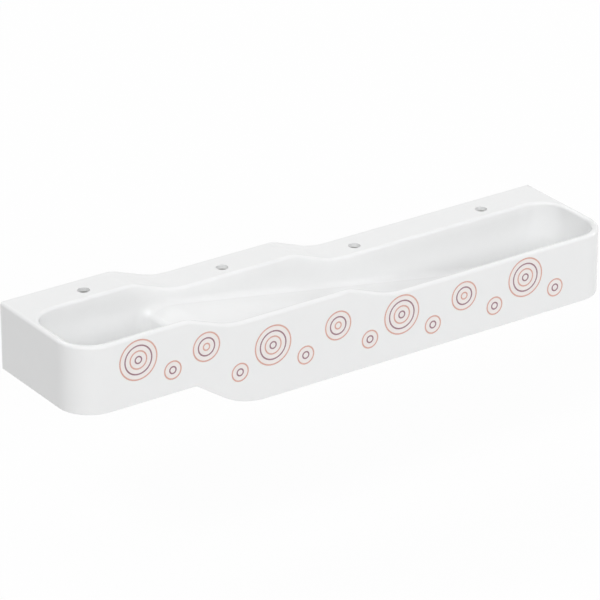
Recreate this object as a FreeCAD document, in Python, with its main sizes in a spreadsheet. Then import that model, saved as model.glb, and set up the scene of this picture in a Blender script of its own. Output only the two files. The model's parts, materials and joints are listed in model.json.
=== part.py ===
import FreeCAD, Part
import math
import os
import re
import Sketcher
from FreeCAD import Vector

# A wall-hung wash trough for children, cast in white mineral material.
# The rim steps down twice from left to right. A deep upper basin spills over a weir
# onto a long ramp, which runs into a lower basin at the right-hand end.
# X runs along the wall, the wall is the plane Y = 0 and the front faces -Y.
# Heights in the sheet are measured from the lowest edge of the apron, and the finished
# pieces are then lowered so that the origin is the middle of the wall bolts.

DIMENSIONS = {
    # overall body
    "length": 1800,
    "depth": 390,
    "corner_radius": 100,
    "rim_high": 300,
    "rim_middle": 250,
    "rim_low": 200,
    # the two steps of the rim, placed from the left-hand end
    "first_step_at": 351,
    "second_step_at": 885,
    "step_run": 137,
    "step_crest_radius": 100,
    "step_foot_radius": 250,
    # the step of the apron's lower edge
    "upper_underside": 100,
    "under_step_at": 374,
    "under_step_run": 149,
    "under_crest_radius": 25,
    "under_foot_radius": 250,
    # rim and walls
    "rim_width": 20,
    "apron_wall": 10,
    "rim_round": 9,
    "lower_edge_round": 2.5,
    # the bowl
    "deck_depth": 110,
    "bowl_corner_radius": 80,
    "floor_thick": 12,
    "floor_fillet": 16,
    "pit_floor": 120,
    "pit_toe_radius": 25,
    "weir_at": 382,
    "weir_top": 229,
    "weir_crest_radius": 50,
    "ramp_foot_radius": 250,
    "landing": 30,
    "landing_length": 226,
    # the tap deck
    "deck_thick": 12,
    "tap_hole": 35,
    "tap_back": 62.5,
    "tap_spacing": 450,
    "tap_chamfer": 1,
    # the wall rail and its bolts
    "rail_thick": 20,
    "rail_bottom": 100,
    "bolt_height": 140,
    "bolt_hole": 12,
    "outer_bolt_spacing": 1400,
    "inner_bolt_spacing": 500,
    # gussets under the deck and ribs under the ramp
    "gusset_thick": 15,
    "gusset_lift": 10,
    "gusset_drop": 55,
    "gusset_end_inset": 100,
    "gusset_middle_at": 800,
    "gusset_low_inset": 450,
    "rib_thick": 12,
    "rib_lift": 20,
    "upper_rib_at": 720,
    "lower_rib_at": 1080,
    # drain fittings
    "pit_drain_at": 200,
    "lower_drain_inset": 110,
    "drain_hole": 46,
    "flange_size": 70,
    "seat_depth": 6,
    "seat_clearance": 0.5,
    "flange_seal": 1.5,
    "flange_round": 0.8,
    "grid_rebate": 50,
    "grid_thick": 2,
    "grid_clearance": 0.2,
    "throat": 34,
    "shoulder_depth": 22,
    "tail_size": 41.9,
    "tail_bore": 30,
    "tail_length": 62,
    "groove_width": 2,
    "groove_depth": 0.9,
    "thread_clearance": 0.1,
    "under_seal": 4,
    "under_seal_size": 62,
    "nut_thick": 10,
    "nut_flats": 56,
    "nut_chamfer": 1.2,
    # spider that stands on the shoulder in the throat
    "spider_height": 8,
    "spider_hub": 14,
    "spider_window_out": 11.5,
    "spider_window_half": 9,
    "spider_hub_half": 3,
    # plug of the upper basin
    "plug_size": 62,
    "plug_lift": 2,
    "plug_edge": 1.6,
    "plug_crown": 4.5,
    "plug_flat": 31,
    "plug_round": 1.2,
    "plug_seal_size": 46,
    "plug_seal_width": 4,
    "plug_seal_gap": 0.3,
    "plug_travel": 8,
    "stem_size": 8,
    "stem_clearance": 0.3,
    "retainer_size": 13,
    "retainer_thick": 4,
    # strainer of the lower basin
    "grid_hole": 5,
    "grid_inner_ring": 10,
    "grid_outer_ring": 17.5,
    "screw_size": 5,
    "screw_head": 10,
    "screw_head_flat": 5,
    "screw_head_edge": 0.9,
    "screw_head_height": 1.8,
    "screw_slot": 1.2,
    "screw_slot_depth": 0.9,
}
TAP_COUNT = 4
INNER_HOLES = 6
OUTER_HOLES = 12
SPIDER_WINDOWS = 3
# Distance from the left-hand end, with the name of the rim level above the gusset.
GUSSETS = [
    ("gusset_end_inset", "rim_high"),
    ("gusset_middle_at", "rim_middle"),
    ("length - gusset_low_inset", "rim_low"),
    ("length - gusset_end_inset", "rim_low"),
]
RIBS = ["upper_rib_at", "lower_rib_at"]
TOLERANCE = 0.01
# A line that climbs more steeply than this share of its length counts as upright.
STEEP = 0.9

doc = FreeCAD.newDocument("wash_trough")
sheet = doc.addObject("Spreadsheet::Sheet", "Dims")
for row, (alias, value) in enumerate(DIMENSIONS.items(), start=1):
    sheet.set("A%d" % row, alias)
    sheet.set("B%d" % row, str(value))
    sheet.setAlias("B%d" % row, alias)
doc.recompute()

nodes = []


def bound(expression):
    """The expression with each dimension's name pointing at its cell in the sheet."""

    def cell(match):
        word = match.group()
        return "Dims." + word if word in DIMENSIONS else word

    return re.sub(r"[a-z_]+", cell, expression)


def number(expression):
    return float(sheet.evalExpression(bound(expression)))


def along(distance):
    """X of a distance from the left-hand end."""
    return "%s - length / 2" % distance


def new_body(label):
    body = doc.addObject("PartDesign::Body", label)
    body.Label = label
    nodes.append(body)
    return body


def place(body, x="0", y="0", z="0"):
    """Set a body down, with heights counted from the wall bolts."""
    for axis, expression in zip("xyz", (x, y, z + " - bolt_height")):
        body.setExpression("Placement.Base." + axis, bound(expression))


def new_sketch(body, plane, offset):
    sketch = body.newObject("Sketcher::SketchObject", body.Label + "_sketch")
    support = [f for f in body.Origin.OriginFeatures if f.Role == plane][0]
    sketch.AttachmentSupport = (support, [""])
    sketch.MapMode = "FlatFace"
    sketch.setExpression("AttachmentOffset.Base.z", bound(offset))
    return sketch


def fix_point(sketch, geometry, position, x, y):
    """Dimension a point of the sketch from its origin."""
    for kind, expression, axis in (("DistanceX", x, -2), ("DistanceY", y, -1)):
        if expression == "0":
            sketch.addConstraint(Sketcher.Constraint("PointOnObject", geometry, position, axis))
            continue
        value = number(expression)
        index = sketch.addConstraint(Sketcher.Constraint(kind, -1, 1, geometry, position, value))
        sketch.setExpression("Constraints[%d]" % index, bound(expression))


def outline(body, plane, points, offset="0"):
    """A closed outline with straight sides, its corners given as pairs of expressions."""
    sketch = new_sketch(body, plane, offset)
    corners = [Vector(number(x), number(y), 0) for x, y in points]
    for start, end in zip(corners, corners[1:] + corners[:1]):
        sketch.addGeometry(Part.LineSegment(start, end))
    for side in range(len(corners)):
        following = (side + 1) % len(corners)
        sketch.addConstraint(Sketcher.Constraint("Coincident", side, 2, following, 1))
    for side, (x, y) in enumerate(points):
        fix_point(sketch, side, 1, x, y)
    return sketch


def circles(body, plane, centres, diameter, offset="0"):
    sketch = new_sketch(body, plane, offset)
    for x, y in centres:
        middle = Vector(number(x), number(y), 0)
        circle = sketch.addGeometry(Part.Circle(middle, Vector(0, 0, 1), number(diameter) / 2))
        index = sketch.addConstraint(Sketcher.Constraint("Diameter", circle, number(diameter)))
        sketch.setExpression("Constraints[%d]" % index, bound(diameter))
        fix_point(sketch, circle, 3, x, y)
    return sketch


def pad(body, sketch, length):
    feature = body.newObject("PartDesign::Pad", body.Label + "_pad")
    feature.Profile = sketch
    feature.setExpression("Length", bound(length))
    doc.recompute()
    return feature


def pocket(body, sketch, depth, backwards=False):
    """Cut a sketch's outline into the body, and make sure that something was cut."""
    before = body.Tip.Shape.Volume
    feature = body.newObject("PartDesign::Pocket", body.Label + "_pocket")
    feature.Profile = sketch
    feature.Reversed = backwards
    feature.setExpression("Length", bound(depth))
    doc.recompute()
    if feature.Shape.Volume > before - TOLERANCE:
        raise RuntimeError("the cut misses " + body.Label)
    return feature


def revolve(body, points):
    """Turn a half section, given as radius and height, about the vertical axis."""
    feature = body.newObject("PartDesign::Revolution", body.Label + "_turned")
    sketch = outline(body, "XZ_Plane", points)
    feature.Profile = sketch
    feature.ReferenceAxis = (sketch, ["V_Axis"])
    feature.Angle = 360
    doc.recompute()
    return feature


def polar(body, feature, sketch_axis, count):
    pattern = body.newObject("PartDesign::PolarPattern", body.Label + "_pattern")
    pattern.Originals = [feature]
    pattern.Axis = sketch_axis
    pattern.Angle = 360
    pattern.Occurrences = count
    body.Tip = pattern
    doc.recompute()
    return pattern


def dress(body, kind, size, chosen):
    """A fillet or chamfer on the edges whose middle point and direction are chosen."""
    base = body.Tip
    names = []
    for index, edge in enumerate(base.Shape.Edges, start=1):
        middle = (edge.FirstParameter + edge.LastParameter) / 2
        if chosen(edge.valueAt(middle), edge.tangentAt(middle)):
            names.append("Edge%d" % index)
    if not names:
        raise RuntimeError("no edge to round on " + body.Label)
    feature = body.newObject("PartDesign::" + kind, body.Label + "_" + kind.lower())
    feature.Base = (base, names)
    feature.setExpression("Radius" if kind == "Fillet" else "Size", bound(size))
    doc.recompute()
    return feature


def crossing(*spots):
    """Chooses the edges that run along Y through the given points of the elevation."""
    wanted = [(number(x), number(z)) for x, z in spots]

    def chosen(point, direction):
        level = abs(direction.y) > 1 - TOLERANCE
        return level and any(math.dist((point.x, point.z), spot) < TOLERANCE for spot in wanted)

    return chosen


def upright(*spots):
    """Chooses the vertical edges at the given points of the plan."""
    wanted = [(number(x), number(y)) for x, y in spots]

    def chosen(point, direction):
        steep = abs(direction.z) > 1 - TOLERANCE
        return steep and any(math.dist((point.x, point.y), spot) < TOLERANCE for spot in wanted)

    return chosen


def ring(radius, height):
    """Chooses the round edge of a turned piece at a radius and a height."""

    def chosen(point, direction):
        at_height = abs(point.z - number(height)) < TOLERANCE
        return at_height and abs(math.hypot(point.x, point.y) - number(radius)) < TOLERANCE

    return chosen


# The stepped rim line, shared by the apron, the bowl, the deck and the wall rail.
FIRST_CREST = along("first_step_at")
FIRST_FOOT = along("first_step_at + step_run")
SECOND_CREST = along("second_step_at")
SECOND_FOOT = along("second_step_at + step_run")


def stepped_line(left, right, drop="0"):
    """The rim line from left to right, lowered by a drop."""
    high, middle, low = ["%s - %s" % (level, drop) for level in ("rim_high", "rim_middle", "rim_low")]
    return [
        (left, high),
        (FIRST_CREST, high),
        (FIRST_FOOT, middle),
        (SECOND_CREST, middle),
        (SECOND_FOOT, low),
        (right, low),
    ]


def round_steps(body, drop="0"):
    """Round the crests and feet of a stepped line that lies a drop below the rim."""
    line = stepped_line("0", "0", drop)
    dress(body, "Fillet", "step_crest_radius - " + drop, crossing(line[1], line[3]))
    dress(body, "Fillet", "step_foot_radius + " + drop, crossing(line[2], line[4]))


def rim_height(x):
    line = [(number(a), number(z)) for a, z in stepped_line("-length / 2", "length / 2")]
    for (x0, z0), (x1, z1) in zip(line, line[1:]):
        if x <= x1:
            return z0 + (z1 - z0) * (x - x0) / (x1 - x0)
    return line[-1][1]


def inside_by(point, half_length, back, front, back_radius, front_radius):
    """How far a point of the plan lies inside a rectangle with rounded corners."""
    to_end = half_length - abs(point.x)
    to_front = point.y - front
    to_back = back - point.y
    for to_side, radius in ((to_front, front_radius), (to_back, back_radius)):
        if to_end < radius and to_side < radius:
            return radius - math.hypot(radius - to_end, radius - to_side)
    return min(to_end, to_front, to_back)


# Outer lines of the bowl's plan, which stands inside the apron and against the deck.
BOWL_LEFT = "-length / 2 + apron_wall"
BOWL_RIGHT = "length / 2 - apron_wall"
BOWL_BACK = "deck_depth - (rim_width - apron_wall)"
CAVITY_LEFT = "-length / 2 + rim_width"
CAVITY_RIGHT = "length / 2 - rim_width"
CAVITY_WIDTH = "(depth - rim_width - deck_depth)"
RAMP_FOOT_AT = "(length - rim_width - landing_length)"
RAMP_SLOPE = "((weir_top - landing) / (%s - weir_at))" % RAMP_FOOT_AT
DRAIN_Y = "-(deck_depth + depth - rim_width) / 2"
PIT_DRAIN = (along("pit_drain_at"), DRAIN_Y, "pit_floor")
LOWER_DRAIN = (along("(length - lower_drain_inset)"), DRAIN_Y, "landing")
NUT_LOW = "-floor_thick - under_seal - nut_thick"


def ramp_height(distance):
    return "(weir_top - (%s - weir_at) * %s)" % (distance, RAMP_SLOPE)


def make_apron():
    """The outer skin: front and both ends in one formed sheet, with the rim's outer half."""
    body = new_body("front_apron")
    under_crest = (along("under_step_at"), "upper_underside")
    under_foot = (along("under_step_at + under_step_run"), "0")
    elevation = stepped_line("-length / 2", "length / 2")
    elevation += [("length / 2", "0"), under_foot, under_crest, ("-length / 2", "upper_underside")]
    pad(body, outline(body, "XZ_Plane", elevation), "depth")
    round_steps(body)
    dress(body, "Fillet", "under_crest_radius", crossing(under_crest))
    dress(body, "Fillet", "under_foot_radius", crossing(under_foot))
    inner_front = "-depth + apron_wall"
    inside = [(BOWL_LEFT, inner_front), (BOWL_RIGHT, inner_front), (BOWL_RIGHT, "apron_wall"),
              (BOWL_LEFT, "apron_wall")]
    pocket(body, outline(body, "XY_Plane", inside), "rim_high + rim_width", backwards=True)
    dress(body, "Fillet", "corner_radius - apron_wall",
          upright((BOWL_LEFT, inner_front), (BOWL_RIGHT, inner_front)))
    dress(body, "Fillet", "corner_radius", upright(("-length / 2", "-depth"), ("length / 2", "-depth")))

    def on_outside(point, direction):
        front = -number("depth")
        edge = inside_by(point, number("length / 2"), -front, front, 0, number("corner_radius"))
        return abs(edge) < TOLERANCE and abs(direction.z) < STEEP

    def outer_rim(point, direction):
        return on_outside(point, direction) and point.z > number("rim_low") - TOLERANCE

    def lower_edge(point, direction):
        return on_outside(point, direction) and point.z < number("upper_underside") + TOLERANCE

    dress(body, "Fillet", "rim_round", outer_rim)
    dress(body, "Fillet", "lower_edge_round", lower_edge)
    place(body)


def make_bowl():
    """The inner moulding: upper basin, weir, ramp and lower basin, with the rim's inner half."""
    body = new_body("bowl")
    weir_back = "weir_at + floor_thick"
    under_crest = (along(weir_back), ramp_height("(%s)" % weir_back) + " - floor_thick")
    elevation = stepped_line(BOWL_LEFT, BOWL_RIGHT)
    elevation += [
        (BOWL_RIGHT, "landing - floor_thick"),
        (along(RAMP_FOOT_AT), "landing - floor_thick"),
        under_crest,
        (along(weir_back), "pit_floor - floor_thick"),
        (BOWL_LEFT, "pit_floor - floor_thick"),
    ]
    pad(body, outline(body, "XZ_Plane", elevation, BOWL_BACK), "depth - apron_wall - (%s)" % BOWL_BACK)
    round_steps(body)
    dress(body, "Fillet", "weir_crest_radius - floor_thick", crossing(under_crest))
    above = "rim_high + rim_width"
    weir_toe = (along("weir_at"), "pit_floor")
    weir_crest = (along("weir_at"), "weir_top")
    ramp_foot = (along(RAMP_FOOT_AT), "landing")
    space = [(CAVITY_LEFT, above), (CAVITY_LEFT, "pit_floor"), weir_toe, weir_crest, ramp_foot,
             (CAVITY_RIGHT, "landing"), (CAVITY_RIGHT, above)]
    pocket(body, outline(body, "XZ_Plane", space, "deck_depth"), CAVITY_WIDTH, backwards=True)
    dress(body, "Fillet", "weir_crest_radius", crossing(weir_crest))
    dress(body, "Fillet", "pit_toe_radius", crossing(weir_toe))
    dress(body, "Fillet", "ramp_foot_radius", crossing(ramp_foot))
    corners = [(x, y) for x in (CAVITY_LEFT, CAVITY_RIGHT) for y in ("-deck_depth", "-depth + rim_width")]
    dress(body, "Fillet", "bowl_corner_radius", upright(*corners))
    dress(body, "Fillet", "corner_radius - apron_wall",
          upright((BOWL_LEFT, "-depth + apron_wall"), (BOWL_RIGHT, "-depth + apron_wall")))

    def on_wall(point):
        radius = number("bowl_corner_radius")
        depth_in = inside_by(point, number(CAVITY_RIGHT), -number("deck_depth"),
                             number("-depth + rim_width"), radius, radius)
        return abs(depth_in) < TOLERANCE

    def at_rim(point):
        return point.z > rim_height(point.x) - number("rim_round")

    def inner_rim(point, direction):
        return on_wall(point) and at_rim(point) and abs(direction.z) < STEEP

    def at_floor(point, direction):
        on_weir = abs(point.x - number(along("weir_at"))) < TOLERANCE
        on_end = abs(abs(point.x) - number(CAVITY_RIGHT)) < TOLERANCE
        bounds_floor = abs(direction.z) < STEEP or on_weir
        follows_wall = abs(direction.y) < 1 - TOLERANCE or on_end
        return on_wall(point) and not at_rim(point) and bounds_floor and follows_wall

    dress(body, "Fillet", "floor_fillet", at_floor)
    dress(body, "Fillet", "rim_round", inner_rim)
    for centre_x, centre_y, floor in (PIT_DRAIN, LOWER_DRAIN):
        centre = [(centre_x, centre_y)]
        hole = circles(body, "XY_Plane", centre, "drain_hole", "%s - floor_thick - rim_width" % floor)
        pocket(body, hole, "floor_thick + 2 * rim_width", backwards=True)
        seat = circles(body, "XY_Plane", centre, "flange_size + 2 * seat_clearance", floor + " - seat_depth")
        pocket(body, seat, "seat_depth + rim_width", backwards=True)
    place(body)


def make_deck():
    """The tap deck behind the bowl, with one hole for each tap."""
    body = new_body("tap_deck")
    under = stepped_line(BOWL_LEFT, BOWL_RIGHT, "deck_thick")
    slab = stepped_line(BOWL_LEFT, BOWL_RIGHT) + under[::-1]
    pad(body, outline(body, "XZ_Plane", slab), BOWL_BACK)
    round_steps(body)
    round_steps(body, "deck_thick")
    taps = []
    for tap in range(TAP_COUNT):
        taps.append(("(%g) * tap_spacing" % (tap - (TAP_COUNT - 1) / 2), "-tap_back"))
    pocket(body, circles(body, "XY_Plane", taps, "tap_hole"), "rim_high + rim_width", backwards=True)
    levels = [number(level) for level in ("rim_high", "rim_middle", "rim_low")]
    spots = [(number(x), number(y)) for x, y in taps]

    def tap_edge(point, direction):
        at_top = any(abs(point.z - level) < TOLERANCE for level in levels)
        nearest = min(math.dist((point.x, point.y), spot) for spot in spots)
        return at_top and abs(nearest - number("tap_hole") / 2) < TOLERANCE

    dress(body, "Chamfer", "tap_chamfer", tap_edge)
    place(body)


def make_rail():
    """The rail under the deck's back edge, which takes the four wall bolts."""
    body = new_body("wall_rail")
    top = stepped_line(BOWL_LEFT, BOWL_RIGHT, "deck_thick")
    strip = top + [(BOWL_RIGHT, "rail_bottom"), (BOWL_LEFT, "rail_bottom")]
    pad(body, outline(body, "XZ_Plane", strip), "rail_thick")
    round_steps(body, "deck_thick")
    bolts = []
    for spacing in ("outer_bolt_spacing", "inner_bolt_spacing"):
        bolts += [("-%s / 2" % spacing, "bolt_height"), (spacing + " / 2", "bolt_height")]
    pocket(body, circles(body, "XZ_Plane", bolts, "bolt_hole"), "rail_thick + rim_width", backwards=True)
    place(body)


def make_gussets():
    """Webs between the wall rail and the bowl's back wall, which carry the deck."""
    for index, (distance, level) in enumerate(GUSSETS, start=1):
        body = new_body("deck_gusset_%d" % index)
        top = level + " - deck_thick"
        web = [("-rail_thick", "rail_bottom + gusset_lift"), ("-rail_thick", top),
               ("-(%s)" % BOWL_BACK, top), ("-(%s)" % BOWL_BACK, top + " - gusset_drop")]
        pad(body, outline(body, "YZ_Plane", web, "-gusset_thick / 2"), "gusset_thick")
        place(body, along(distance))


def make_ribs():
    """Cross ribs under the ramp, which stiffen the apron's skirt."""
    for index, distance in enumerate(RIBS, start=1):
        body = new_body("ramp_rib_%d" % index)
        right = "(%s + rib_thick)" % distance
        web = [(along(distance), "rib_lift"), (along(right), "rib_lift"),
               (along(right), ramp_height(right) + " - floor_thick"),
               (along(distance), ramp_height(distance) + " - floor_thick")]
        sketch = outline(body, "XZ_Plane", web, BOWL_BACK)
        pad(body, sketch, "depth - apron_wall - (%s)" % BOWL_BACK)
        place(body)


def make_spider(label, drain, bore):
    """A disc with three windows and a bored hub, standing on the shoulder of the throat."""
    body = new_body(label)
    pad(body, circles(body, "XY_Plane", [("0", "0")], "throat - 2 * grid_clearance"), "spider_height")
    pocket(body, circles(body, "XY_Plane", [("0", "0")], bore), "2 * spider_height", backwards=True)
    window = outline(body, "XY_Plane", [
        ("spider_hub / 2", "-spider_hub_half"),
        ("spider_window_out", "-spider_window_half"),
        ("spider_window_out", "spider_window_half"),
        ("spider_hub / 2", "spider_hub_half"),
    ])
    cut = pocket(body, window, "2 * spider_height", backwards=True)
    polar(body, cut, (window, ["N_Axis"]), SPIDER_WINDOWS)
    place(body, drain[0], drain[1], drain[2] + " - shoulder_depth")


def make_waste(prefix, drain):
    """A threaded drain fitting clamped through the floor: body, two seals and a back nut."""
    body = new_body(prefix + "_waste_body")
    flange_under = "-(seat_depth - flange_seal)"
    groove = "tail_size / 2 - groove_depth"
    revolve(body, [
        ("throat / 2", "-grid_thick"), ("grid_rebate / 2", "-grid_thick"), ("grid_rebate / 2", "0"),
        ("flange_size / 2", "0"), ("flange_size / 2", flange_under), ("tail_size / 2", flange_under),
        ("tail_size / 2", "%s - groove_width" % NUT_LOW), (groove, "%s - groove_width" % NUT_LOW),
        (groove, "%s - 2 * groove_width" % NUT_LOW), ("tail_size / 2", "%s - 2 * groove_width" % NUT_LOW),
        ("tail_size / 2", "-tail_length"), ("tail_bore / 2", "-tail_length"),
        ("tail_bore / 2", "-shoulder_depth"), ("throat / 2", "-shoulder_depth"),
    ])
    dress(body, "Fillet", "flange_round", ring("flange_size / 2", "0"))
    place(body, *drain)

    body = new_body(prefix + "_flange_seal")
    revolve(body, [
        ("drain_hole / 2", "-seat_depth"), ("flange_size / 2 - flange_seal", "-seat_depth"),
        ("flange_size / 2 - flange_seal", flange_under), ("drain_hole / 2", flange_under),
    ])
    place(body, *drain)

    body = new_body(prefix + "_under_seal")
    inner = "tail_size / 2 + thread_clearance"
    revolve(body, [
        (inner, "-floor_thick - under_seal"), ("under_seal_size / 2", "-floor_thick - under_seal"),
        ("under_seal_size / 2", "-floor_thick"), (inner, "-floor_thick"),
    ])
    place(body, *drain)

    body = new_body(prefix + "_back_nut")
    corner = "nut_flats / sqrt(3)"
    hexagon = []
    for angle in range(0, 360, 60):
        hexagon.append(("%s * cos(%d)" % (corner, angle), "%s * sin(%d)" % (corner, angle)))
    pad(body, outline(body, "XY_Plane", hexagon, NUT_LOW), "nut_thick")

    def lower_side(point, direction):
        return abs(point.z - number(NUT_LOW)) < TOLERANCE

    dress(body, "Chamfer", "nut_chamfer", lower_side)
    hole = circles(body, "XY_Plane", [("0", "0")], "tail_size + 2 * thread_clearance", NUT_LOW)
    pocket(body, hole, "2 * nut_thick", backwards=True)
    place(body, *drain)


def make_plug(drain):
    """The plug of the upper basin: a cap with its seal, on a stem that a retainer stops."""
    body = new_body("pit_plug_cap")
    edge = "plug_lift + plug_edge"
    crown = "plug_lift + plug_crown"
    revolve(body, [("0", "plug_lift"), ("plug_size / 2", "plug_lift"), ("plug_size / 2", edge),
                   ("plug_flat / 2", crown), ("0", crown)])
    dress(body, "Fillet", "plug_round", ring("plug_size / 2", edge))
    dress(body, "Fillet", "plug_size", ring("plug_flat / 2", crown))
    place(body, *drain)

    body = new_body("pit_plug_seal")
    inner, outer = "plug_seal_size / 2", "plug_seal_size / 2 + plug_seal_width"
    revolve(body, [(inner, "plug_seal_gap"), (outer, "plug_seal_gap"),
                   (outer, "plug_lift"), (inner, "plug_lift")])
    place(body, *drain)

    retainer_top = "-shoulder_depth - plug_travel - stem_clearance"
    stem_end = retainer_top + " - retainer_thick"
    body = new_body("pit_plug_stem")
    revolve(body, [("0", stem_end), ("stem_size / 2", stem_end),
                   ("stem_size / 2", "plug_lift"), ("0", "plug_lift")])
    place(body, *drain)

    body = new_body("pit_plug_retainer")
    revolve(body, [("stem_size / 2", stem_end), ("retainer_size / 2", stem_end),
                   ("retainer_size / 2", retainer_top), ("stem_size / 2", retainer_top)])
    place(body, *drain)


def make_strainer(drain):
    """The lower basin's strainer: a perforated disc held by one slotted screw."""
    body = new_body("lower_strainer")
    disc = circles(body, "XY_Plane", [("0", "0")], "grid_rebate - 2 * grid_clearance", "-grid_thick")
    pad(body, disc, "grid_thick")
    bore = circles(body, "XY_Plane", [("0", "0")], "screw_size + 2 * grid_clearance", "-grid_thick")
    pocket(body, bore, "2 * grid_thick", backwards=True)
    for ring, count in (("grid_inner_ring", INNER_HOLES), ("grid_outer_ring", OUTER_HOLES)):
        sketch = circles(body, "XY_Plane", [(ring, "0")], "grid_hole", "-grid_thick")
        hole = pocket(body, sketch, "2 * grid_thick", backwards=True)
        polar(body, hole, (sketch, ["N_Axis"]), count)
    place(body, *drain)

    body = new_body("lower_strainer_screw")
    tip = "-shoulder_depth"
    revolve(body, [("0", tip), ("screw_size / 2", tip), ("screw_size / 2", "0"), ("screw_head / 2", "0"),
                   ("screw_head / 2", "screw_head_edge"), ("screw_head_flat / 2", "screw_head_height"),
                   ("0", "screw_head_height")])
    slot = [("-screw_head", "-screw_slot / 2"), ("screw_head", "-screw_slot / 2"),
            ("screw_head", "screw_slot / 2"), ("-screw_head", "screw_slot / 2")]
    slot_floor = "screw_head_height - screw_slot_depth"
    pocket(body, outline(body, "XY_Plane", slot, slot_floor), "2 * screw_head_height", backwards=True)
    place(body, *drain)


def check_document():
    for feature in doc.Objects:
        if "Invalid" in feature.State or "Error" in feature.State:
            raise RuntimeError("%s failed" % feature.Label)
    for body in nodes:
        if body.Shape.isNull() or not body.Shape.isValid():
            raise RuntimeError("%s has no valid shape" % body.Label)


make_apron()
make_bowl()
make_deck()
make_rail()
make_gussets()
make_ribs()
make_waste("pit", PIT_DRAIN)
make_spider("pit_plug_guide", PIT_DRAIN, "stem_size + 2 * stem_clearance")
make_plug(PIT_DRAIN)
make_waste("lower", LOWER_DRAIN)
make_spider("lower_strainer_bridge", LOWER_DRAIN, "screw_size")
make_strainer(LOWER_DRAIN)
doc.recompute()
check_document()

os.makedirs("parts", exist_ok=True)
for body in nodes:
    body.Shape.exportStep("parts/%s.step" % body.Label)
    box = body.Shape.BoundBox
    print("%-22s %d solid, %9.1f cm3, %7.1f %7.1f %7.1f" % (
        body.Label, len(body.Shape.Solids), body.Shape.Volume / 1000, box.XLength, box.YLength, box.ZLength))
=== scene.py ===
# %% [markdown]
# # A wash trough for children
# The trough hangs on a wall. It is cast in one go from white mineral composite: the rim steps down twice,
# a deep basin spills over a weir, and a long ramp runs down to a lower basin. Underneath it has a bolt rail,
# webs and two drains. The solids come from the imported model, which fixes every place and size. This lesson
# gives them their looks.

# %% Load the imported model
import json
import math
from collections import namedtuple

import bmesh
import bpy
import numpy as np
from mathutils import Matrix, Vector


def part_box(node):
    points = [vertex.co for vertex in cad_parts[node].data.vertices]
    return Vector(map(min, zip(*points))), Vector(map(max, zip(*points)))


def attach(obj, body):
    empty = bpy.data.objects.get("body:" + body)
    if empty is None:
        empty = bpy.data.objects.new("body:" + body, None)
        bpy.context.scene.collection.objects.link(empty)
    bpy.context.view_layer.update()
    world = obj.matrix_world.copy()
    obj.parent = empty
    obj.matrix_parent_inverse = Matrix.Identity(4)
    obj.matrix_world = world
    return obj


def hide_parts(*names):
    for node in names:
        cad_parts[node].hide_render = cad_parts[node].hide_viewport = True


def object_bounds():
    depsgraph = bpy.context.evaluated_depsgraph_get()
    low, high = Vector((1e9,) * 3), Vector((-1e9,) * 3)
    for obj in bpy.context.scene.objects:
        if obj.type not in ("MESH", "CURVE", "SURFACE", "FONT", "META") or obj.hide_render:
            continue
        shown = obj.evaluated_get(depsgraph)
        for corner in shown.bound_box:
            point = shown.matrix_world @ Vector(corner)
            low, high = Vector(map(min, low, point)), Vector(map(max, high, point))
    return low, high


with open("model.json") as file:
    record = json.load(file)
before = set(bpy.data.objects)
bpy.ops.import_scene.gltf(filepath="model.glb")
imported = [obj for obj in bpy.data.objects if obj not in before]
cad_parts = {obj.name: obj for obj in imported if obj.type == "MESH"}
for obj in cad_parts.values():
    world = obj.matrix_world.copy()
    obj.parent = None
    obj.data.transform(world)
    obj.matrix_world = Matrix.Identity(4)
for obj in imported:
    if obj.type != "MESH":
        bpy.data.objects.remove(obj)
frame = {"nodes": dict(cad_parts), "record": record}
cad_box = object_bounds()
nodes = frame["nodes"]

# %% [markdown]
# ## Camera
# A product shot of a long, low object is taken from far away with a long lens, so that parallel edges stay
# nearly parallel. The camera could be tracked to an empty, but a direction turned into a rotation is one
# line, and it needs no constraint that other views would have to undo.

# %% Camera
AZIMUTH = math.radians(-34.74)
ELEVATION = math.radians(25.13)
DISTANCE = 10.97
TARGET = Vector((-0.0298, -0.1599, -0.0051))
LENS = 235.9
SENSOR = 36.0
FAR_LIMIT = 100.0


def direction(azimuth, elevation):
    """Unit vector from the object towards a compass direction and a height above the horizon."""
    level = math.cos(elevation)
    return Vector((math.sin(azimuth) * level, -math.cos(azimuth) * level, math.sin(elevation)))


lens = bpy.data.cameras.new("camera")
lens.lens = LENS
lens.sensor_width = SENSOR
lens.clip_end = FAR_LIMIT
camera = bpy.data.objects.new("camera", lens)
bpy.context.scene.collection.objects.link(camera)
towards_camera = direction(AZIMUTH, ELEVATION)
camera.location = TARGET + towards_camera * DISTANCE
camera.rotation_euler = (-towards_camera).to_track_quat("-Z", "Y").to_euler()
bpy.context.scene.camera = camera
print("camera at", [round(value, 3) for value in camera.location])

# %% [markdown]
# ## Small helpers for node trees
# Shader trees are easier to read when a node is made, set and linked in one line. These helpers do only that.

# %% Node helpers


def add(tree, kind, values=None, **settings):
    """A shader node with its settings and inputs: a socket is linked, any other value is set."""
    node = tree.nodes.new("ShaderNode" + kind)
    for name, value in settings.items():
        setattr(node, name, value)
    for name, value in (values or {}).items():
        if isinstance(value, bpy.types.NodeSocket):
            tree.links.new(value, node.inputs[name])
        else:
            node.inputs[name].default_value = value
    return node


def math_node(tree, operation, first, second=0.0):
    return add(tree, "Math", {0: first, 1: second}, operation=operation).outputs[0]


def grey(level):
    return (level, level, level, 1.0)


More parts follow.
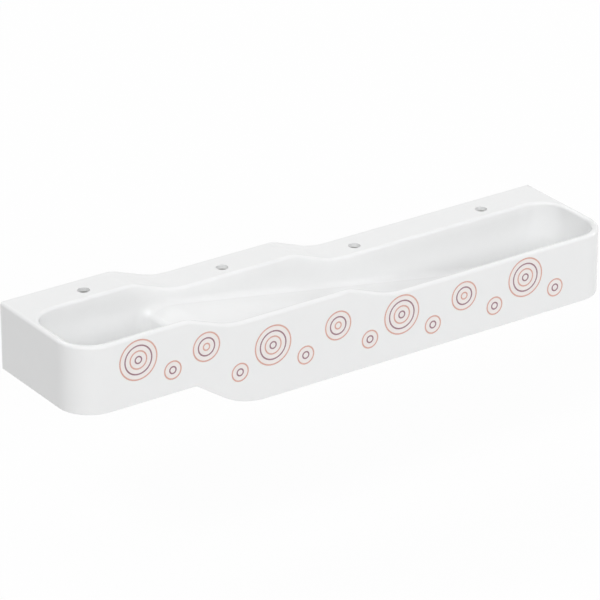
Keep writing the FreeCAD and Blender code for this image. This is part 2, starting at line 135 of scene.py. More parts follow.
# %% [markdown]
# ## Studio
# The trough floats on pure white, so the floor and the world are plain white to the camera and to mirror-like
# surfaces, and a calmer grey to everything else. That keeps the white background from lighting the object too
# strongly. The room is brightest overhead and fades to nothing at the horizon.
#
# Five wide lamps add the shape: one level with the front, one over the shoulder a little to the left, a
# window high up on the left, a low one from the right, and one from above and behind. Each stays weak enough
# that no white surface reaches full white. Their azimuths and elevations are in degrees. The floor throws an
# even light back up, and vanishes from below, for views from underneath.

# %% Studio
CEILING_LIGHT = 0.76
Lamp = namedtuple("Lamp", "name strength azimuth elevation")
LAMPS = [
    Lamp("front_light", 0.69, 5, 0),
    Lamp("shoulder_light", 0.69, -15, 25),
    Lamp("window_light", 0.66, -62, 49),
    Lamp("side_light", 0.48, 80, 8),
    Lamp("back_light", 0.44, 180, 50),
]
LAMP_WIDTH = math.radians(15)
FLOOR_DROP = 0.45
FLOOR_HALF_SIZE = 60.0
FLOOR_LIGHT = 0.612
FLOOR_GLOW = 0.94

scene = bpy.context.scene
scene.view_settings.view_transform = "Standard"


def seen_directly(tree):
    """1 for rays that show the background itself: from the camera, off a mirror or through glass."""
    path = add(tree, "LightPath").outputs
    total = math_node(tree, "ADD", path["Is Camera Ray"], path["Is Glossy Ray"])
    total = math_node(tree, "ADD", total, path["Is Transmission Ray"])
    return math_node(tree, "MINIMUM", total, 1.0)


world = bpy.data.worlds.new("studio")
scene.world = world
world.use_nodes = True
tree = world.node_tree
tree.nodes.clear()
height = add(tree, "SeparateXYZ", {0: add(tree, "TexCoord").outputs["Generated"]}).outputs["Z"]
light = math_node(tree, "MULTIPLY", math_node(tree, "MAXIMUM", height, 0.0), CEILING_LIGHT)
room = add(tree, "Background", {"Color": grey(1.0), "Strength": light})
white = add(tree, "Background", {"Color": grey(1.0), "Strength": 1.0})
chosen = add(tree, "MixShader", {0: seen_directly(tree), 1: room.outputs[0], 2: white.outputs[0]})
add(tree, "OutputWorld", {"Surface": chosen.outputs[0]})

for lamp in LAMPS:
    sun = bpy.data.lights.new(lamp.name, "SUN")
    sun.energy = lamp.strength
    sun.angle = LAMP_WIDTH
    sun_object = bpy.data.objects.new(lamp.name, sun)
    scene.collection.objects.link(sun_object)
    shining = -direction(math.radians(lamp.azimuth), math.radians(lamp.elevation))
    sun_object.rotation_euler = shining.to_track_quat("-Z", "Y").to_euler()

floor_material = bpy.data.materials.new("pale_floor")
floor_material.use_nodes = True
tree = floor_material.node_tree
tree.nodes.clear()
bounce = add(tree, "Emission", {"Color": grey(1.0), "Strength": FLOOR_LIGHT})
bright_paint = add(tree, "BsdfDiffuse", {"Color": grey(1.0)})
glow = add(tree, "Emission", {"Color": grey(1.0), "Strength": 1.0})
shown = add(tree, "MixShader", {0: FLOOR_GLOW, 1: bright_paint.outputs[0], 2: glow.outputs[0]})
top_side = add(tree, "MixShader", {0: seen_directly(tree), 1: bounce.outputs[0], 2: shown.outputs[0]})
clear = add(tree, "BsdfTransparent")
below = add(tree, "NewGeometry").outputs["Backfacing"]
both = add(tree, "MixShader", {0: below, 1: top_side.outputs[0], 2: clear.outputs[0]})
add(tree, "OutputMaterial", {"Surface": both.outputs[0]})

floor_level = cad_box[0].z - FLOOR_DROP
floor_mesh = bpy.data.meshes.new("floor")
corners = [(-1, -1), (1, -1), (1, 1), (-1, 1)]
outline = [(x * FLOOR_HALF_SIZE, y * FLOOR_HALF_SIZE, floor_level) for x, y in corners]
floor_mesh.from_pydata(outline, [], [(0, 1, 2, 3)])
floor_mesh.materials.append(floor_material)
floor = bpy.data.objects.new("floor", floor_mesh)
scene.collection.objects.link(floor)
print("floor at", round(floor_level, 3))

# %% [markdown]
# ## Shared surface effects
# Nothing that leaves a workshop has one flat colour. Cast mineral is faintly cloudy, print ink is faintly
# patchy, rubber and plastic carry the grain of their mould, and turned metal keeps the marks of the tool.
# Each effect is a node group with named inputs, built once here and placed in the materials with other
# values. The groups give out colours, roughness and heights only; the shader itself stays in the material.

# %% Node group for cloudy colour


def new_group(name, inputs, outputs):
    """An empty shader group with the given sockets, and its input and output nodes."""
    group = bpy.data.node_groups.new(name, "ShaderNodeTree")
    for label, kind, value in inputs:
        socket = group.interface.new_socket(label, in_out="INPUT", socket_type="NodeSocket" + kind)
        socket.default_value = value
    for label, kind in outputs:
        group.interface.new_socket(label, in_out="OUTPUT", socket_type="NodeSocket" + kind)
    entry = group.nodes.new("NodeGroupInput").outputs
    leaving = group.nodes.new("NodeGroupOutput").inputs
    return group, entry, leaving


cloudy, entry, leaving = new_group(
    "cloudy colour",
    [("Light", "Color", grey(0.8)), ("Dark", "Color", grey(0.7)), ("Clouds per metre", "Float", 20.0)],
    [("Colour", "Color"), ("Clouds", "Float")],
)
place = add(cloudy, "TexCoord").outputs["Object"]
noise = add(cloudy, "TexNoise", {"Vector": place, "Scale": entry["Clouds per metre"], "Detail": 4.0})
clouds = add(cloudy, "MapRange", {"Value": noise.outputs["Fac"], "From Min": 0.35, "From Max": 0.65})
mixed = add(cloudy, "Mix", {0: clouds.outputs[0], 6: entry["Light"], 7: entry["Dark"]}, data_type="RGBA")
cloudy.links.new(mixed.outputs[2], leaving["Colour"])
cloudy.links.new(clouds.outputs[0], leaving["Clouds"])
print("group:", cloudy.name)

# %% Node group for fine grain
grainy, entry, leaving = new_group(
    "fine grain",
    [("Grains per metre", "Float", 900.0), ("Smoothest", "Float", 0.3), ("Roughest", "Float", 0.4)],
    [("Roughness", "Float"), ("Height", "Float")],
)
SMEAR_SHARE = 0.03
place = add(grainy, "TexCoord").outputs["Object"]
grain = add(grainy, "TexNoise", {"Vector": place, "Scale": entry["Grains per metre"], "Detail": 3.0})
smear_scale = math_node(grainy, "MULTIPLY", entry["Grains per metre"], SMEAR_SHARE)
smear = add(grainy, "TexNoise", {"Vector": place, "Scale": smear_scale, "Detail": 3.0})
gloss = add(grainy, "MapRange", {"Value": smear.outputs["Fac"], "From Min": 0.3, "From Max": 0.7,
                                 "To Min": entry["Smoothest"], "To Max": entry["Roughest"]})
grainy.links.new(gloss.outputs[0], leaving["Roughness"])
grainy.links.new(grain.outputs["Fac"], leaving["Height"])
print("group:", grainy.name)

# %% [markdown]
# Turned metal shows fine rings about the axis that it was turned on. There are two drains, so the group
# measures the distance to the nearer drain's axis, and adds the height, so that rings run round the tail as
# well as across the flange.

# %% Node group for tool marks
mounts = {mount["name"]: mount for mount in frame["record"]["mounts"]}
DRAIN_AXES = [Vector(mounts[name]["pos_m"]) for name in ("upper_drain_tail", "lower_drain_tail")]

turned, entry, leaving = new_group(
    "tool marks",
    [("Rings per metre", "Float", 2500.0), ("Smoothest", "Float", 0.15), ("Roughest", "Float", 0.3)],
    [("Roughness", "Float"), ("Height", "Float")],
)
place = add(turned, "TexCoord").outputs["Object"]
distances = []
level = add(turned, "VectorMath", {0: place, 1: (1.0, 1.0, 0.0)}, operation="MULTIPLY").outputs[0]
for axis in DRAIN_AXES:
    gap = add(turned, "VectorMath", {0: level, 1: (axis.x, axis.y, 0.0)}, operation="DISTANCE")
    distances.append(gap.outputs["Value"])
radius = math_node(turned, "MINIMUM", *distances)
height = add(turned, "SeparateXYZ", {0: place}).outputs["Z"]
travel = math_node(turned, "ADD", radius, height)
rings = add(turned, "TexNoise", {"W": travel, "Scale": entry["Rings per metre"], "Detail": 2.0},
            noise_dimensions="1D")
gloss = add(turned, "MapRange", {"Value": rings.outputs["Fac"], "From Min": 0.3, "From Max": 0.7,
                                 "To Min": entry["Smoothest"], "To Max": entry["Roughest"]})
turned.links.new(gloss.outputs[0], leaving["Roughness"])
turned.links.new(rings.outputs["Fac"], leaving["Height"])
print("group:", turned.name, "about", [tuple(round(v, 3) for v in axis) for axis in DRAIN_AXES])

# %% [markdown]
# ## Finishes
# Every finish is a Principled shader with the same parts: a cloudy colour, a gloss that varies, and a
# bump that is far smaller than a millimetre. One function lays those out. What sets a finish apart is its
# numbers, and whether its fine structure is the grain of a mould or the rings of a lathe.

# %% A function for finishes
Finish = namedtuple("Finish", "light dark clouds texture fineness smooth rough relief metal")


def make_finish(name, finish):
    """A material with the cloudy colour, the gloss and the fine relief of a finish."""
    material = bpy.data.materials.new(name)
    material.use_nodes = True
    tree = material.node_tree
    tree.nodes.clear()
    tint = {"Light": finish.light, "Dark": finish.dark, "Clouds per metre": finish.clouds}
    colour = add(tree, "Group", tint, node_tree=cloudy)
    gloss = {0: finish.fineness, "Smoothest": finish.smooth, "Roughest": finish.rough}
    detail = add(tree, "Group", gloss, node_tree=finish.texture)
    bump = add(tree, "Bump", {"Height": detail.outputs["Height"], "Strength": 1.0, "Distance": finish.relief})
    shader = add(tree, "BsdfPrincipled", {
        "Base Color": colour.outputs["Colour"],
        "Roughness": detail.outputs["Roughness"],
        "Normal": bump.outputs["Normal"],
        "Metallic": finish.metal,
    })
    add(tree, "OutputMaterial", {"Surface": shader.outputs[0]})
    return material


# %% [markdown]
# The white casting is polished to a satin sheen on the sides that show. Its clouds are barely there: they
# only stop it from looking like plastic. Rail, webs and ribs are the same stuff, sanded and left raw.

# %% Cast mineral
MICRON = 0.000001
finishes = {
    "white_cast": Finish(
        light=(0.944, 0.948, 0.948, 1.0), dark=(0.937, 0.941, 0.942, 1.0), clouds=18.0,
        texture=grainy, fineness=1400.0, smooth=0.22, rough=0.26, relief=6 * MICRON, metal=0.0),
    "raw_cast": Finish(
        light=(0.74, 0.74, 0.72, 1.0), dark=(0.70, 0.70, 0.68, 1.0), clouds=30.0,
        texture=grainy, fineness=900.0, smooth=0.62, rough=0.80, relief=60 * MICRON, metal=0.0),
}

# %% [markdown]
# The drains are chromed brass where they show in the basin, plain brass and stainless steel below, with black
# rubber seals and a moulded grey guide for the plug.

# %% Metal, rubber and plastic
finishes["chrome"] = Finish(
    light=(0.80, 0.81, 0.82, 1.0), dark=(0.76, 0.77, 0.79, 1.0), clouds=60.0,
    texture=turned, fineness=1500.0, smooth=0.05, rough=0.10, relief=0.4 * MICRON, metal=1.0)
finishes["brass"] = Finish(
    light=(0.78, 0.60, 0.30, 1.0), dark=(0.62, 0.45, 0.20, 1.0), clouds=90.0,
    texture=turned, fineness=2600.0, smooth=0.24, rough=0.40, relief=5 * MICRON, metal=1.0)
finishes["steel"] = Finish(
    light=(0.62, 0.62, 0.61, 1.0), dark=(0.54, 0.54, 0.54, 1.0), clouds=120.0,
    texture=turned, fineness=3200.0, smooth=0.22, rough=0.36, relief=4 * MICRON, metal=1.0)
finishes["rubber"] = Finish(
    light=(0.050, 0.050, 0.052, 1.0), dark=(0.032, 0.032, 0.034, 1.0), clouds=150.0,
    texture=grainy, fineness=3000.0, smooth=0.62, rough=0.82, relief=25 * MICRON, metal=0.0)
finishes["grey_plastic"] = Finish(
    light=(0.46, 0.47, 0.48, 1.0), dark=(0.41, 0.42, 0.43, 1.0), clouds=120.0,
    texture=grainy, fineness=2500.0, smooth=0.38, rough=0.52, relief=12 * MICRON, metal=0.0)
materials = {name: make_finish(name, finish) for name, finish in finishes.items()}
print("finishes:", ", ".join(materials))

# %% Give every node its finish
for part in frame["record"]["subparts"]:
    mesh = nodes[part["node"]].data
    mesh.materials.clear()
    mesh.materials.append(materials[part["material_slot"]])

# %% [markdown]
# ## The casting
# In the solids the casting is three pieces: apron, bowl and deck. On the real trough the joints between them
# are ground away, so here one mesh stands for all three. It could be a union of the three solids, but their
# triangles meet badly along the joints and the roundings would show facets. A cleaner way is to think as the
# mould maker does: the trough is one section, from the basin's floor over the rim to the skirt's lower edge
# and up again underneath, carried once round the basin. Every section has the same number of points, so
# neighbours join up in neat four-sided faces.

# %% Sizes of the casting
apron_low, apron_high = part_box("front_apron")
LEFT, RIGHT = apron_low.x, apron_high.x
PRINT_THICK = 0.0001
FRONT, WALL = apron_low.y + PRINT_THICK, apron_high.y
LOWEST = apron_low.z
UP = Vector((0.0, 0.0, 1.0))

RIM_HIGH, RIM_MIDDLE, RIM_LOW = 0.300, 0.250, 0.200
FIRST_STEP, SECOND_STEP, STEP_RUN = 0.351, 0.885, 0.137
CREST_RADIUS, FOOT_RADIUS = 0.100, 0.250
RIM_WIDTH = 0.020
APRON_WALL = 0.010
DECK_DEPTH = 0.110
DECK_THICK = 0.012
BASIN_CORNER = 0.080
RIM_ROUND = 0.009
LOWER_ROUND = 0.0025
PIT_FILLET, RAMP_FILLET = 0.028, 0.016
FLOOR_THICK = 0.012
length = RIGHT - LEFT


def at(distance, height):
    """A point of the elevation: distance from the left-hand end, height above the lowest edge."""
    return Vector((LEFT + distance, LOWEST + height))


print("casting", round(length, 3), "long,", round(WALL - FRONT, 3), "deep")

# %% [markdown]
# The rim line, the lower edge, the floor and the underside are all straight runs joined by tangent arcs. A
# path keeps its points with the distance run so far and the heading, so that a place on it can be asked for
# by distance as well as by x. That matters at the weir, whose face is upright: there many points share one x.

# %% Lines of the elevation
Path = namedtuple("Path", "run x z heading")
ARC_STEPS = 32


def ahead(angle):
    return Vector((math.cos(angle), math.sin(angle)))


def aside(angle):
    return Vector((-math.sin(angle), math.cos(angle)))


def rounded_path(corners, radii):
    """Straight runs between the corners, with an arc of the given radius at each inner corner."""
    headings = [math.atan2(b.y - a.y, b.x - a.x) for a, b in zip(corners, corners[1:])]
    points, turns = [corners[0]], [headings[0]]
    for corner, arriving, going, radius in zip(corners[1:], headings, headings[1:], radii):
        turn = going - arriving
        side = math.copysign(radius, turn)
        start = corner - ahead(arriving) * radius * math.tan(abs(turn) / 2)
        centre = start + aside(arriving) * side
        for step in range(ARC_STEPS + 1):
            angle = arriving + turn * step / ARC_STEPS
            points.append(centre - aside(angle) * side)
            turns.append(angle)
    points.append(corners[-1])
    turns.append(headings[-1])
    lengths = [(b - a).length for a, b in zip(points, points[1:])]
    run = np.concatenate([[0.0], np.cumsum(lengths)])
    return Path(run, np.array([p.x for p in points]), np.array([p.y for p in points]), np.array(turns))


rim_line = rounded_path(
    [at(0, RIM_HIGH), at(FIRST_STEP, RIM_HIGH), at(FIRST_STEP + STEP_RUN, RIM_MIDDLE),
     at(SECOND_STEP, RIM_MIDDLE), at(SECOND_STEP + STEP_RUN, RIM_LOW), at(length, RIM_LOW)],
    [CREST_RADIUS, FOOT_RADIUS, CREST_RADIUS, FOOT_RADIUS])
print("rim line", round(rim_line.run[-1], 3), "m")

# %% [markdown]
# The weir has an upright face that ends in a tight lip. Behind the lip the floor still climbs a little, rolls
# gently over a crest and falls away as the ramp. The underside follows one floor's thickness below.

# %% Lower edge, floor and underside
UNDER_STEP, UNDER_STEP_RUN, UPPER_UNDERSIDE = 0.374, 0.149, 0.100
UNDER_CREST_RADIUS, UNDER_FOOT_RADIUS = 0.025, 0.250
PIT_FLOOR, LANDING = 0.120, 0.030
WEIR_AT, LIP_TOP = 0.393, 0.206
CREST_AT, CREST_TOP = 0.452, 0.2171
WEIR_TOE_RADIUS, LIP_RADIUS, ROLL_RADIUS, RAMP_FOOT_RADIUS = 0.032, 0.018, 0.230, 0.250
UNDERSIDE_RADIUS = 0.006
LANDING_LENGTH = 0.226
ramp_foot = length - RIM_WIDTH - LANDING_LENGTH
ramp_slope = (CREST_TOP - LANDING) / (ramp_foot - CREST_AT)
lip_slope = (CREST_TOP - LIP_TOP) / (CREST_AT - WEIR_AT)
weir_back = WEIR_AT + FLOOR_THICK

lower_line = rounded_path(
    [at(0, UPPER_UNDERSIDE), at(UNDER_STEP, UPPER_UNDERSIDE), at(UNDER_STEP + UNDER_STEP_RUN, 0),
     at(length, 0)],
    [UNDER_CREST_RADIUS, UNDER_FOOT_RADIUS])
floor_line = rounded_path(
    [at(RIM_WIDTH, PIT_FLOOR), at(WEIR_AT, PIT_FLOOR), at(WEIR_AT, LIP_TOP), at(CREST_AT, CREST_TOP),
     at(ramp_foot, LANDING), at(length - RIM_WIDTH, LANDING)],
    [WEIR_TOE_RADIUS, LIP_RADIUS, ROLL_RADIUS, RAMP_FOOT_RADIUS])
under_line = rounded_path(
    [at(APRON_WALL, PIT_FLOOR - FLOOR_THICK), at(weir_back, PIT_FLOOR - FLOOR_THICK),
     at(weir_back, LIP_TOP - FLOOR_THICK * (1 - lip_slope)), at(CREST_AT, CREST_TOP - FLOOR_THICK),
     at(ramp_foot, LANDING - FLOOR_THICK), at(length - APRON_WALL, LANDING - FLOOR_THICK)],
    [UNDERSIDE_RADIUS, LIP_RADIUS - FLOOR_THICK, ROLL_RADIUS - FLOOR_THICK, RAMP_FOOT_RADIUS])
print("floor line", round(floor_line.run[-1], 3), "m, ramp falls 1 in", round(1 / ramp_slope, 1))

# %% [markdown]
# Near the weir the sections are spread along the floor line instead of along x, so that the upright face and
# the tight lip get sections of their own. Sections that stand left of the face share out its height, and the
# next ones take the lip. Then no two sections cross on the wall above.

# %% Where the sections stand
ZONE_START, ZONE_END = LEFT + 0.330, LEFT + 0.440
FACE = LEFT + WEIR_AT - PIT_FILLET
SECTION_STEP, FACE_STEP, LIP_STEP = 0.008, 0.0005, 0.0017
UPRIGHT = math.radians(89.99)


def spread(path, x):
    """Point and heading of a path for the section at x, spread along the path near the weir."""
    run = np.interp(x, path.x, path.run)
    if ZONE_START < x < ZONE_END:
        start, end = np.interp((ZONE_START, ZONE_END), path.x, path.run)
        upright_top = path.run[np.flatnonzero(path.heading > UPRIGHT)[-1]]
        run = np.interp(x, (ZONE_START, FACE, ZONE_END), (start, upright_top, end))
    return [float(np.interp(run, path.run, values)) for values in (path.x, path.z, path.heading)]


def evenly(start, end, step):
    """Places from start to end, with start left out."""
    return list(np.linspace(start, end, round((end - start) / step) + 1))[1:]


straight_start = LEFT + RIM_WIDTH + BASIN_CORNER
straight_end = RIGHT - RIM_WIDTH - BASIN_CORNER
straight = evenly(straight_start, ZONE_START, SECTION_STEP) + evenly(ZONE_START, FACE, FACE_STEP)
straight += evenly(FACE, ZONE_END, LIP_STEP) + evenly(ZONE_END, straight_end, SECTION_STEP)[:-1]
print(len(straight), "sections along each side")

# %% [markdown]
# Seen from above, a section stands at a point of the basin's wall and looks outwards. In front and at the
# ends it runs over the narrow rim. Behind the basin it crosses the deck, either to the wall or, in the back
# corners, to the end panel, so those sections fan out.

# %% Stations in plan
Station = namedtuple("Station", "kind wall out edge away foot")
BACK = -DECK_DEPTH
BOWL_BACK = BACK + RIM_WIDTH - APRON_WALL
CORNER_STEPS = 14
PANEL_STEPS = (4, 4)
SIDE_STEPS = 10


def mix(a, b, share):
    return a + (b - a) * share


def over_rim(wall, out):
    """A station whose section runs over the narrow rim."""
    return Station("rim", wall, out, wall + out * RIM_WIDTH, out, wall + out * (RIM_WIDTH - APRON_WALL))


def back_left_corner():
    """Stations round the basin's corner: the first ones look at the end panel, the rest at the wall."""
    centre = Vector((straight_start, BACK - BASIN_CORNER))
    inner = LEFT + APRON_WALL
    panel_edge = [centre.y] + evenly(centre.y, BOWL_BACK, (BOWL_BACK - centre.y) / PANEL_STEPS[0])
    panel_edge += evenly(BOWL_BACK, WALL, (WALL - BOWL_BACK) / PANEL_STEPS[1])
    deck_steps = CORNER_STEPS - len(panel_edge)
    deck_edge = [inner] + evenly(inner, straight_start, (straight_start - inner) / deck_steps)
    made = []
    for index in range(CORNER_STEPS + 1):
        out = ahead(math.pi - math.pi / 2 * index / CORNER_STEPS)
        wall = centre + out * BASIN_CORNER
        if index < len(panel_edge):
            edge = Vector((LEFT, panel_edge[index]))
            foot = Vector((inner, min(edge.y, BOWL_BACK)))
            made.append(Station("panel", wall, out, edge, Vector((-1, 0)), foot))
        else:
            edge = Vector((deck_edge[index - len(panel_edge)], WALL))
            made.append(Station("deck", wall, out, edge, Vector((0, 1)), Vector((edge.x, BOWL_BACK))))
    return made


def mirrored(station):
    """The same station at the right-hand end."""

    def flip(v, middle):
        return Vector((2 * middle - v.x, v.y))

    centre = (LEFT + RIGHT) / 2
    return Station(station.kind, flip(station.wall, centre), flip(station.out, 0), flip(station.edge, centre),
                   flip(station.away, 0), flip(station.foot, centre))


def in_front(station):
    """The station straight across the basin."""
    middle = (BACK + FRONT + RIM_WIDTH) / 2
    wall = Vector((station.wall.x, 2 * middle - station.wall.y))
    return over_rim(wall, Vector((station.out.x, -station.out.y)))


left_corner = back_left_corner()
deck_row = [Station("deck", Vector((x, BACK)), Vector((0, 1)), Vector((x, WALL)), Vector((0, 1)),
                    Vector((x, BOWL_BACK))) for x in straight]
back_row = left_corner + deck_row + [mirrored(station) for station in reversed(left_corner)]
front_row = [in_front(station) for station in back_row]


def end_row(top, bottom):
    """Stations along one end of the basin, between the corners."""
    walls = [mix(top.wall, bottom.wall, step / SIDE_STEPS) for step in range(1, SIDE_STEPS)]
    return [over_rim(wall, Vector((math.copysign(1, wall.x), 0))) for wall in walls]


right_row = end_row(back_row[-1], front_row[-1])
left_row = end_row(front_row[0], back_row[0])
stations = back_row + right_row + front_row[::-1] + left_row
print(len(stations), "stations round the basin")

# %% [markdown]
# Now the section itself. It starts where the floor's fillet meets the floor, climbs the wall, rounds over the
# rim, goes down the outside, round the lower edge and up to the underside. Where a station has no skirt, as
# along the wall, the points that it doesn't need fall together, and are merged at the end. Sections that
# climb the weir stand at one x underneath, so their lower ends lean to the right, which keeps them apart.

# %% One section
ROUND_STEPS = 8
FILLET_STEPS = 10
WALL_STEPS = 4
DECK_STEPS = 4
SKIRT_STEPS = 5
LOWER_STEPS = 3
HEM_LEAN, LEAN_RUN = 0.3, 0.2
LEAN_END = ZONE_END + LEAN_RUN


def steps(start, end, count):
    """Points from start, left out, to end."""
    return [start.lerp(end, step / count) for step in range(1, count + 1)]


def arc(centre, first, second, radius, count):
    """Points of a quarter circle from one direction to another, without its first point."""
    angles = [math.pi / 2 * step / count for step in range(1, count + 1)]
    return [centre + (first * math.cos(angle) + second * math.sin(angle)) * radius for angle in angles]


def solid(plan, height):
    return Vector((plan.x, plan.y, height))


def section(station):
    """Points of one section, from the basin's floor over the rim to the underside."""
    floor_x, floor_z, heading = spread(floor_line, station.wall.x)
    under_x, under_z, _ = spread(under_line, station.wall.x)
    top = float(np.interp(station.wall.x, rim_line.x, rim_line.z))
    lean = np.interp(station.wall.x, (FACE, LEAN_END), (HEM_LEAN, 0)) * (under_z - under_line.z[0])
    shift = under_x - station.wall.x
    low = float(np.interp(under_x + lean, lower_line.x, lower_line.z))
    out, away = solid(station.out, 0), solid(station.away, 0)
    normal = Vector((-math.sin(heading), 0, math.cos(heading)))

    # the floor's fillet, which narrows behind the weir's lip, and the basin's wall
    fillet = float(np.interp(floor_x, (LEFT + WEIR_AT, ZONE_END), (PIT_FILLET, RAMP_FILLET)))
    hollow = Vector((floor_x, station.wall.y, floor_z)) + (normal - out) * fillet
    points = [hollow - normal * fillet]
    points += arc(hollow, -normal, out, fillet, FILLET_STEPS)
    inner_spring = solid(station.wall, top - RIM_ROUND)
    points += steps(points[-1], inner_spring, WALL_STEPS)

    # over the rim or the deck, and down the outside
    points += arc(inner_spring + out * RIM_ROUND, -out, UP, RIM_ROUND, ROUND_STEPS)
    edge = solid(station.edge, top)
    if station.kind == "deck":
        points += steps(points[-1], edge, DECK_STEPS)
        points += steps(edge, edge - UP * RIM_ROUND, ROUND_STEPS)
        underside = edge - UP * DECK_THICK
        points += steps(points[-1], underside, SKIRT_STEPS)
        points += [underside] * (LOWER_STEPS + 1)
    else:
        points += steps(points[-1], edge - away * RIM_ROUND, DECK_STEPS)
        points += arc(edge - (away + UP) * RIM_ROUND, UP, away, RIM_ROUND, ROUND_STEPS)
        hem = Vector((station.edge.x + shift + lean, station.edge.y, low + LOWER_ROUND))
        points += steps(points[-1], hem, SKIRT_STEPS)
        points += arc(hem - away * LOWER_ROUND, away, -UP, LOWER_ROUND, LOWER_STEPS)
        points.append(solid(hem - away * APRON_WALL, low))

    # to the underside of the bowl, behind it by way of the underside of the deck
    foot = Vector((station.foot.x + shift, station.foot.y, under_z))
    behind = station.edge.y > BOWL_BACK
    return points + [solid(station.foot, top - DECK_THICK) if behind else foot, foot]


sections = [section(station) for station in stations]
print(len(sections[0]), "points in each section")

# %% [markdown]
# The sections are joined into a tube that closes on itself. Its two open ends, the basin's floor and the
# underside, are filled with rows of faces from the back row to the front row.

# %% Join the sections
MERGE = 0.000005
SHARP = math.radians(32)


def join_sections(shape):
    """Faces between neighbouring sections; gives back the corners, section by section."""
    grid = [[shape.verts.new(point) for point in points] for points in sections]
    for here, there in zip(grid, grid[1:] + grid[:1]):
        for quad in zip(here, here[1:], there[1:], there):
            shape.faces.new(quad)
    return grid


def fill_across(shape, loop):
    """Rows of faces that close one end of the tube, from the back row to the front row."""
    count = len(back_row)
    right = loop[count:count + len(right_row)]
    front = loop[count + len(right_row):-len(left_row)][::-1]
    rows = [[loop[0]] + loop[:-len(left_row) - 1:-1] + [front[0]]]
    for back_vert, front_vert in zip(loop[1:count - 1], front[1:-1]):
        between = [back_vert.co.lerp(front_vert.co, step / SIDE_STEPS) for step in range(1, SIDE_STEPS)]
        rows.append([back_vert] + [shape.verts.new(point) for point in between] + [front_vert])
    rows.append([loop[count - 1]] + right + [front[-1]])
    for here, there in zip(rows, rows[1:]):
        for quad in zip(here, here[1:], there[1:], there):
            shape.faces.new(quad)


def mesh_object(name, shape, material):
    """A linked object from a finished bmesh, smooth but for its sharp edges."""
    bmesh.ops.recalc_face_normals(shape, faces=shape.faces)
    mesh = bpy.data.meshes.new(name)
    shape.to_mesh(mesh)
    shape.free()
    mesh.materials.append(material)
    mesh.shade_smooth()
    mesh.set_sharp_from_angle(angle=SHARP)
    piece = bpy.data.objects.new(name, mesh)
    scene.collection.objects.link(piece)
    return piece


shape = bmesh.new()
grid = join_sections(shape)
fill_across(shape, [points[0] for points in grid])
fill_across(shape, [points[-1] for points in grid])
bmesh.ops.remove_doubles(shape, verts=shape.verts, dist=MERGE)
open_edges = [edge for edge in shape.edges if not edge.is_manifold]
casting = mesh_object("casting", shape, materials["white_cast"])
print("casting:", len(casting.data.polygons), "faces,", len(open_edges), "open edges")

# %% [markdown]
# Holes are drilled, not cast: four for the taps and two stepped seats for the drains. Each cutter is a turned
# shape, so the edge of a hole can be eased in the same stroke. The cutters go into one mesh for a single
# boolean, which is then applied, so that only the result stays.

# %% Drill the holes
TURN_STEPS = 64
TAP_HOLE, TAP_LENGTH = 0.035, 0.060
TAP_LEVELS = (RIM_HIGH, RIM_MIDDLE, RIM_LOW, RIM_LOW)
EASE = 0.0005
EASE_STEPS = 4
EASE_REACH = math.radians(78)
EASE_SUNK = 0.98
WAY_OUT = 0.010
DRAIN_HOLE, SEAT_SIZE, SEAT_DEPTH = 0.046, 0.071, 0.006


def turn(shape, profile, centre):
    """A turned solid about an upright axis, from radius and height pairs that run up from the axis."""
    rings = []
    for radius, height in profile:
        angles = [2 * math.pi * step / TURN_STEPS for step in range(TURN_STEPS)]
        spots = [Vector((radius * math.cos(angle), radius * math.sin(angle), height)) for angle in angles]
        rings.append([shape.verts.new(centre + spot) for spot in spots])
    for here, there in zip(rings, rings[1:]):
        for quad in zip(here, here[1:] + here[:1], there[1:] + there[:1], there):
            shape.faces.new(quad)
    shape.faces.new(rings[0][::-1])
    shape.faces.new(rings[-1])


def eased_mouth(radius):
    """Upper end of a cutter: an eased edge, nearly all of it below the surface, and a straight way out."""
    bend = [(radius + EASE * (1 - math.cos(EASE_REACH * step / EASE_STEPS)),
             EASE * (math.sin(EASE_REACH * step / EASE_STEPS) - math.sin(EASE_REACH) * EASE_SUNK))
            for step in range(EASE_STEPS + 1)]
    return bend + [(bend[-1][0], WAY_OUT)]


shape = bmesh.new()
for number, level in enumerate(TAP_LEVELS, start=1):
    place = Vector(mounts["tap_hole_%d" % number]["pos_m"])
    place.z = LOWEST + level
    turn(shape, [(TAP_HOLE / 2, -TAP_LENGTH)] + eased_mouth(TAP_HOLE / 2), place)
for axis, level in zip(DRAIN_AXES, (PIT_FLOOR, LANDING)):
    place = Vector((axis.x, axis.y, LOWEST + level))
    bore = [(DRAIN_HOLE / 2, -2 * FLOOR_THICK), (DRAIN_HOLE / 2, -SEAT_DEPTH), (SEAT_SIZE / 2, -SEAT_DEPTH)]
    turn(shape, bore + eased_mouth(SEAT_SIZE / 2), place)
cutter = mesh_object("cutter", shape, materials["white_cast"])

drill = casting.modifiers.new("drill", "BOOLEAN")
drill.operation = "DIFFERENCE"
drill.solver = "EXACT"
drill.object = cutter
drilled = bpy.data.meshes.new_from_object(casting.evaluated_get(bpy.context.evaluated_depsgraph_get()))
casting.modifiers.clear()
casting.data = drilled
bpy.data.objects.remove(cutter)
drilled.set_sharp_from_angle(angle=SHARP)
casting.modifiers.new("even_shading", "WEIGHTED_NORMAL").keep_sharp = True
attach(casting, "trough")
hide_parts("front_apron", "bowl", "tap_deck")
print("drilled casting:", len(drilled.polygons), "faces")

# %% [markdown]
# ## Printed rings on the front
# The front carries a cheerful print in peach and plum. Here it is a row of ripples, as when drops fall into
# water: rings inside rings, large and small in turn, along the middle of the face. A print has almost no
# thickness, so each ring is a flat band that stands a tenth of a millimetre proud.

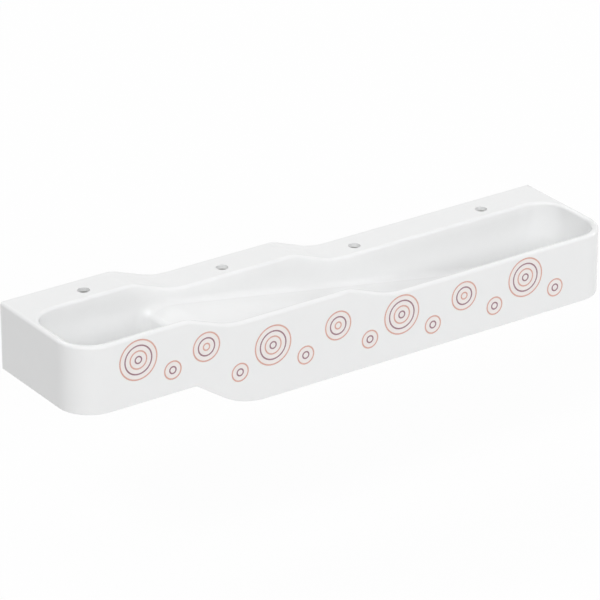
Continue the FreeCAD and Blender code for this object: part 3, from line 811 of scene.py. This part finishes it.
# %% Ripple print
PRINT_ROOT = 0.0002
LINE_WIDTH = 0.0042
RING_STEP = 0.016
RIPPLE_RADII = (0.060, 0.028, 0.044, 0.028)
FIRST_RIPPLE, RIPPLE_PITCH, RIPPLE_COUNT = 0.190, 0.108, 14
SWING = 0.030
BAND_STEPS = 96

INK_COLOURS = {
    "peach_ink": ((0.74, 0.43, 0.35, 1.0), (0.70, 0.39, 0.32, 1.0)),
    "plum_ink": ((0.35, 0.18, 0.22, 1.0), (0.31, 0.15, 0.19, 1.0)),
    "blush_ink": ((0.945, 0.895, 0.88, 1.0), (0.935, 0.885, 0.87, 1.0)),
}
inks = {}
for name, (light, dark) in INK_COLOURS.items():
    inks[name] = make_finish(name, Finish(
        light=light, dark=dark, clouds=120.0,
        texture=grainy, fineness=1800.0, smooth=0.34, rough=0.44, relief=3 * MICRON, metal=0.0))


def band(shape, centre, inner, outer):
    """A flat ring on the front face, rooted a little way into it."""
    rings = []
    profile = [(inner, PRINT_ROOT), (inner, -PRINT_THICK), (outer, -PRINT_THICK), (outer, PRINT_ROOT)]
    for radius, depth in profile:
        spots = [centre + ahead(2 * math.pi * step / BAND_STEPS) * radius for step in range(BAND_STEPS)]
        rings.append([shape.verts.new((spot.x, FRONT + depth, spot.y)) for spot in spots])
    for here, there in zip(rings, rings[1:] + rings[:1]):
        for quad in zip(here, here[1:] + here[:1], there[1:] + there[:1], there):
            shape.faces.new(quad)


prints = {name: bmesh.new() for name in inks}
for index in range(RIPPLE_COUNT):
    x = LEFT + FIRST_RIPPLE + RIPPLE_PITCH * index
    middle = (np.interp(x, rim_line.x, rim_line.z) + np.interp(x, lower_line.x, lower_line.z)) / 2
    centre = Vector((x, middle + SWING * (-1) ** index))
    radius = RIPPLE_RADII[index % len(RIPPLE_RADII)]
    ink = "peach_ink"
    while radius > LINE_WIDTH:
        band(prints[ink], centre, radius - LINE_WIDTH, radius)
        inner = max(radius - RING_STEP, LINE_WIDTH / 2)
        band(prints["blush_ink"], centre, inner, radius - LINE_WIDTH)
        radius -= RING_STEP
        ink = "plum_ink" if ink == "peach_ink" else "peach_ink"
for name, shape in prints.items():
    piece = mesh_object(name.replace("_ink", "_rings"), shape, inks[name])
    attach(piece, "trough")
    print(piece.name, len(piece.data.polygons), "faces")
